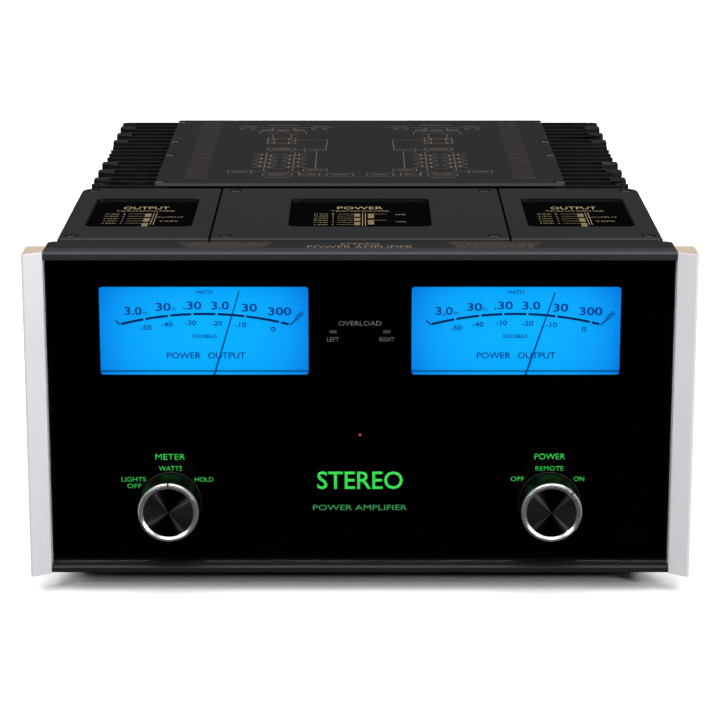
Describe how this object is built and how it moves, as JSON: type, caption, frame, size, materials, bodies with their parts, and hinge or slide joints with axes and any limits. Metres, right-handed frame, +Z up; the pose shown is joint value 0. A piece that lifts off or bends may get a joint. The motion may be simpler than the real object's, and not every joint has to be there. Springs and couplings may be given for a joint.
{
  "type": "power amplifier",
  "caption": "Stereo power amplifier: glass front with lit level meters and two rotary knobs, boxed transformers behind it, finned heat sinks each side and connectors at the rear.",
  "frame": {"origin": "on the surface that the feet stand on, under the middle of the object's box", "axes": "+X to the right as seen from the front, +Y from the front panel to the rear, +Z up"},
  "size_m": [0.4444, 0.545, 0.2397],
  "materials": {
    "glass_clear": "gloss",
    "mask_black": "matte",
    "trim_dark": "satin",
    "cap_silver": "satin",
    "housing_black": "satin",
    "case_white": "matte",
    "dial_blue": "matte",
    "needle_navy": "satin",
    "movement_steel": "satin",
    "lamp_strip": "satin",
    "knob_black": "gloss",
    "knob_ring": "polished",
    "shaft_steel": "satin",
    "switch_plastic": "matte",
    "board_green": "satin",
    "light_pipe": "gloss",
    "chassis_black": "satin",
    "cover_black": "satin",
    "label_glass": "gloss",
    "core_iron": "satin",
    "winding_copper": "satin",
    "sink_black": "satin",
    "plate_black": "satin",
    "screw_steel": "satin",
    "package_black": "matte",
    "can_sleeve": "gloss",
    "connector_black": "satin",
    "contact_gold": "polished",
    "foot_rubber": "matte",
    "fuse_glass": "gloss"
  },
  "bodies": {
    "chassis": {"front_glass": "glass_clear", "glass_mask": "mask_black", "trim_top": "trim_dark", "trim_bottom": "trim_dark", "end_cap_left": "cap_silver", "end_cap_right": "cap_silver", "front_housing": "housing_black", "meter_case_left": "case_white", "meter_case_right": "case_white", "meter_dials": "dial_blue", "meter_movements": "movement_steel", "meter_lamps": "lamp_strip", "rotary_switches": "switch_plastic", "display_board": "board_green", "indicator_lenses": "light_pipe", "chassis_pan": "chassis_black", "rear_panel": "chassis_black", "feet": "foot_rubber", "foot_screws": "screw_steel", "cover_left": "cover_black", "cover_centre": "cover_black", "cover_right": "cover_black", "cover_labels": "label_glass", "cover_screws": "screw_steel", "transformer_cores": "core_iron", "transformer_windings": "winding_copper", "heat_sink_left": "sink_black", "heat_sink_right": "sink_black", "power_transistors": "package_black", "driver_boards": "board_green", "filter_capacitors": "can_sleeve", "supply_board": "board_green", "input_board": "board_green", "top_cover": "plate_black", "xlr_jacks": "connector_black", "rca_jacks": "contact_gold", "trigger_jacks": "connector_black", "mode_switch_body": "connector_black", "ac_inlet": "connector_black", "binding_post_collars": "connector_black", "binding_post_stems": "contact_gold"},
    "meter_knob": {"knob_meter_body": "knob_black", "knob_meter_ring": "knob_ring", "meter_switch_shaft": "shaft_steel"},
    "power_knob": {"knob_power_body": "knob_black", "knob_power_ring": "knob_ring", "power_switch_shaft": "shaft_steel"},
    "left_needle": {"meter_needle_left": "needle_navy"},
    "right_needle": {"meter_needle_right": "needle_navy"},
    "mode_slider": {"mode_switch_slider": "connector_black"},
    "fuse_tray": {"fuse_drawer": "connector_black", "fuse": "fuse_glass"},
    "nut_left_common": {"post_nut_left_common": "contact_gold"},
    "nut_left_2_ohm": {"post_nut_left_2_ohm": "contact_gold"},
    "nut_left_4_ohm": {"post_nut_left_4_ohm": "contact_gold"},
    "nut_left_8_ohm": {"post_nut_left_8_ohm": "contact_gold"},
    "nut_right_common": {"post_nut_right_common": "contact_gold"},
    "nut_right_2_ohm": {"post_nut_right_2_ohm": "contact_gold"},
    "nut_right_4_ohm": {"post_nut_right_4_ohm": "contact_gold"},
    "nut_right_8_ohm": {"post_nut_right_8_ohm": "contact_gold"}
  },
  "joints": [
    {"name": "meter_knob_turn", "type": "hinge", "parent": "chassis", "child": "meter_knob", "pos_m": [-0.128, -0.26, 0.0625], "axis": [0, 1, 0], "range_deg": [-45, 45]},
    {"name": "power_knob_turn", "type": "hinge", "parent": "chassis", "child": "power_knob", "pos_m": [0.128, -0.26, 0.0625], "axis": [0, 1, 0], "range_deg": [-90, 0]},
    {"name": "left_needle_swing", "type": "hinge", "parent": "chassis", "child": "left_needle", "pos_m": [-0.1039, -0.24, 0.1288], "axis": [0, 1, 0], "range_deg": [-61.6, 28.4]},
    {"name": "right_needle_swing", "type": "hinge", "parent": "chassis", "child": "right_needle", "pos_m": [0.1039, -0.24, 0.1288], "axis": [0, 1, 0], "range_deg": [-63.4, 26.6]},
    {"name": "mode_switch_slide", "type": "slide", "parent": "chassis", "child": "mode_slider", "axis": [1, 0, 0], "range_m": [0, 0.0058]},
    {"name": "fuse_drawer_slide", "type": "slide", "parent": "chassis", "child": "fuse_tray", "axis": [0, 1, 0], "range_m": [0, 0.018]},
    {"name": "nut_left_common_turn", "type": "hinge", "parent": "chassis", "child": "nut_left_common", "pos_m": [-0.03, 0.26, 0.095], "axis": [0, 1, 0], "range_deg": [0, 900]},
    {"name": "nut_left_2_ohm_turn", "type": "hinge", "parent": "chassis", "child": "nut_left_2_ohm", "pos_m": [-0.056, 0.26, 0.095], "axis": [0, 1, 0], "range_deg": [0, 900]},
    {"name": "nut_left_4_ohm_turn", "type": "hinge", "parent": "chassis", "child": "nut_left_4_ohm", "pos_m": [-0.082, 0.26, 0.095], "axis": [0, 1, 0], "range_deg": [0, 900]},
    {"name": "nut_left_8_ohm_turn", "type": "hinge", "parent": "chassis", "child": "nut_left_8_ohm", "pos_m": [-0.108, 0.26, 0.095], "axis": [0, 1, 0], "range_deg": [0, 900]},
    {"name": "nut_right_common_turn", "type": "hinge", "parent": "chassis", "child": "nut_right_common", "pos_m": [0.03, 0.26, 0.095], "axis": [0, 1, 0], "range_deg": [0, 900]},
    {"name": "nut_right_2_ohm_turn", "type": "hinge", "parent": "chassis", "child": "nut_right_2_ohm", "pos_m": [0.056, 0.26, 0.095], "axis": [0, 1, 0], "range_deg": [0, 900]},
    {"name": "nut_right_4_ohm_turn", "type": "hinge", "parent": "chassis", "child": "nut_right_4_ohm", "pos_m": [0.082, 0.26, 0.095], "axis": [0, 1, 0], "range_deg": [0, 900]},
    {"name": "nut_right_8_ohm_turn", "type": "hinge", "parent": "chassis", "child": "nut_right_8_ohm", "pos_m": [0.108, 0.26, 0.095], "axis": [0, 1, 0], "range_deg": [0, 900]}
  ]
}
